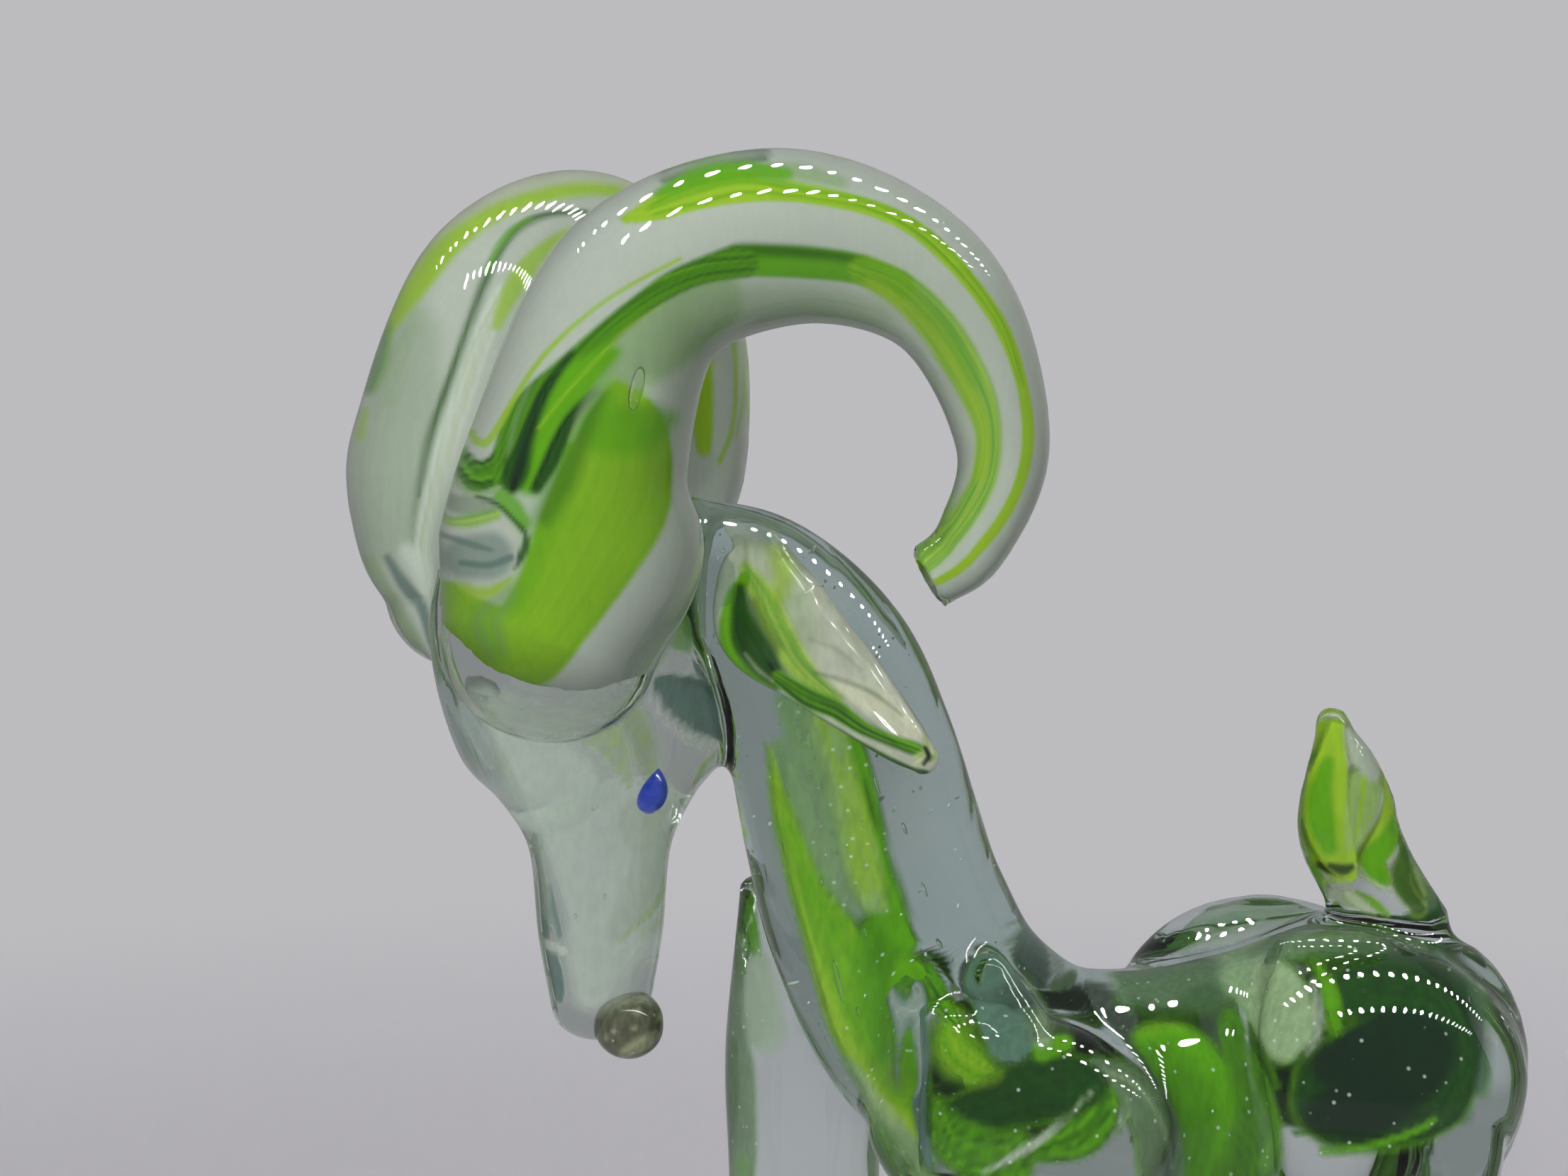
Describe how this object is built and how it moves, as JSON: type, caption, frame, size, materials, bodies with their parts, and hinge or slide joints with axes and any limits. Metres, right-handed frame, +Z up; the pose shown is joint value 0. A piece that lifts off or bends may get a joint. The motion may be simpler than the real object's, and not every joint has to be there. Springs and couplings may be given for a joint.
{
  "type": "glass ram figurine",
  "caption": "Hot-worked clear glass ram with curled horns, leaf-shaped ears and tail, and green and white colour cores.",
  "frame": {"origin": "under the middle of the bounding box, on the plane that the feet stand on", "axes": "+Z up. The ram faces -X, and its left side is -Y."},
  "size_m": [0.084, 0.047, 0.1098],
  "materials": {
    "aqua_clear": "clear, faintly aqua glass, fire polished",
    "green_core": "translucent green glass, cased in clear",
    "milky_veil": "thin milky glass, cased in clear",
    "striped_cane": "white, lime and green stripes, cased in clear",
    "leaf_green": "green and cream glass, fire polished",
    "cobalt": "cobalt blue glass, fire polished",
    "smoke_bead": "grey-brown clear glass, fire polished"
  },
  "bodies": {
    "root": {"body": "aqua_clear", "body_core": "green_core", "head": "aqua_clear", "head_core": "milky_veil", "left_horn": "aqua_clear", "left_horn_core": "striped_cane", "right_horn": "aqua_clear", "right_horn_core": "striped_cane", "left_ear": "leaf_green", "right_ear": "leaf_green", "left_eye": "cobalt", "right_eye": "cobalt", "nose": "smoke_bead", "left_front_leg": "aqua_clear", "left_front_leg_core": "green_core", "right_front_leg": "aqua_clear", "right_front_leg_core": "green_core", "left_hind_leg": "aqua_clear", "left_hind_leg_core": "green_core", "right_hind_leg": "aqua_clear", "right_hind_leg_core": "green_core", "tail": "aqua_clear", "tail_core": "green_core"}
  },
  "joints": []
}
